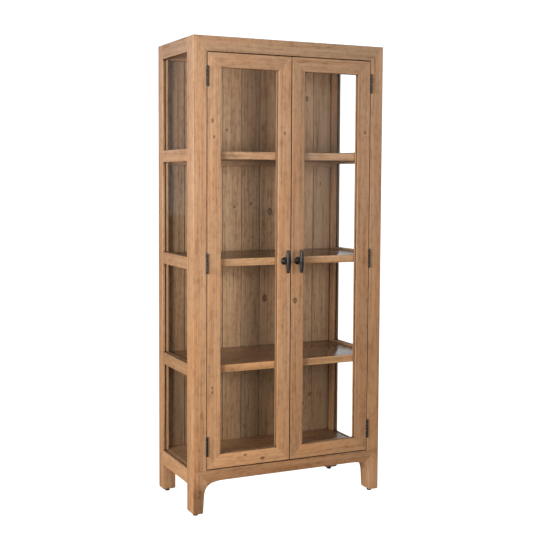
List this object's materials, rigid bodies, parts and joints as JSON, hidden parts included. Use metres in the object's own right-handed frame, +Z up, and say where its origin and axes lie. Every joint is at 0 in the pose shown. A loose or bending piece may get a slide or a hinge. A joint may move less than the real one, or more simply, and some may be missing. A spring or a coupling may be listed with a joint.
{
  "type": "pantry cabinet",
  "caption": "Tall pantry cabinet in reclaimed pine with inset mitred glass doors, glazed sides, fixed shelves, boarded back, dark iron T-pulls and levelling feet.",
  "frame": {"origin": "on the floor under the middle of the whole object's box, pulls included, which is 23.5 mm in front of the carcass's own middle", "axes": "+X to the right of someone facing the doors, +Y from the doors to the back, +Z up"},
  "size_m": [0.89, 0.477, 1.984],
  "materials": {
    "pine": "matt waxed reclaimed pine",
    "pine_inside": "matt waxed reclaimed pine, greyer and darker",
    "glass": "clear float glass",
    "iron": "satin dark iron",
    "steel": "zinc-plated",
    "foot_plastic": "matt black",
    "catch_plastic": "matt dark brown"
  },
  "bodies": {
    "cabinet": {"front_post_left": "pine", "front_post_right": "pine", "back_post_left": "pine", "back_post_right": "pine", "front_top_rail": "pine", "front_apron": "pine", "back_top_rail": "pine", "back_bottom_rail": "pine", "left_rail_bottom": "pine", "left_rail_lower": "pine", "left_rail_middle": "pine", "left_rail_upper": "pine", "left_rail_top": "pine", "right_rail_bottom": "pine", "right_rail_lower": "pine", "right_rail_middle": "pine", "right_rail_upper": "pine", "right_rail_top": "pine", "left_side_glass": "glass", "right_side_glass": "glass", "left_glass_beads": "pine", "right_glass_beads": "pine", "top_panel": "pine", "floor_panel": "pine_inside", "shelf_lower": "pine", "shelf_middle": "pine", "shelf_upper": "pine", "support_cleats": "pine_inside", "back_boards": "pine_inside", "left_frame_leaves": "iron", "right_frame_leaves": "iron", "left_hinge_pins": "iron", "right_hinge_pins": "iron", "frame_screws": "steel", "door_catches": "catch_plastic", "foot_inserts": "steel"},
    "left_door": {"left_door_hinge_stile": "pine", "left_door_meeting_stile": "pine", "left_door_top_rail": "pine", "left_door_bottom_rail": "pine", "left_door_glass": "glass", "left_door_beads": "pine", "left_pull": "iron", "left_door_leaves": "iron", "left_door_screws": "steel", "left_strike_plate": "steel"},
    "right_door": {"right_door_hinge_stile": "pine", "right_door_meeting_stile": "pine", "right_door_top_rail": "pine", "right_door_bottom_rail": "pine", "right_door_glass": "glass", "right_door_beads": "pine", "right_pull": "iron", "right_door_leaves": "iron", "right_door_screws": "steel", "right_strike_plate": "steel"},
    "front_left_foot": {"foot_front_left": "foot_plastic"},
    "front_right_foot": {"foot_front_right": "foot_plastic"},
    "back_left_foot": {"foot_back_left": "foot_plastic"},
    "back_right_foot": {"foot_back_right": "foot_plastic"}
  },
  "joints": [
    {"name": "left_door_swing", "type": "hinge", "parent": "cabinet", "child": "left_door", "pos_m": [-0.384, -0.1959, 1.058], "axis": [0, 0, -1], "range_deg": [0, 170]},
    {"name": "right_door_swing", "type": "hinge", "parent": "cabinet", "child": "right_door", "pos_m": [0.384, -0.1959, 1.058], "axis": [0, 0, 1], "range_deg": [0, 170]},
    {"name": "front_left_foot_turn", "type": "hinge", "parent": "cabinet", "child": "front_left_foot", "pos_m": [-0.421, -0.1555, 0.01], "axis": [0, 0, 1], "continuous": true},
    {"name": "front_right_foot_turn", "type": "hinge", "parent": "cabinet", "child": "front_right_foot", "pos_m": [0.421, -0.1555, 0.01], "axis": [0, 0, 1], "continuous": true},
    {"name": "back_left_foot_turn", "type": "hinge", "parent": "cabinet", "child": "back_left_foot", "pos_m": [-0.415, 0.2125, 0.01], "axis": [0, 0, 1], "continuous": true},
    {"name": "back_right_foot_turn", "type": "hinge", "parent": "cabinet", "child": "back_right_foot", "pos_m": [0.415, 0.2125, 0.01], "axis": [0, 0, 1], "continuous": true}
  ]
}
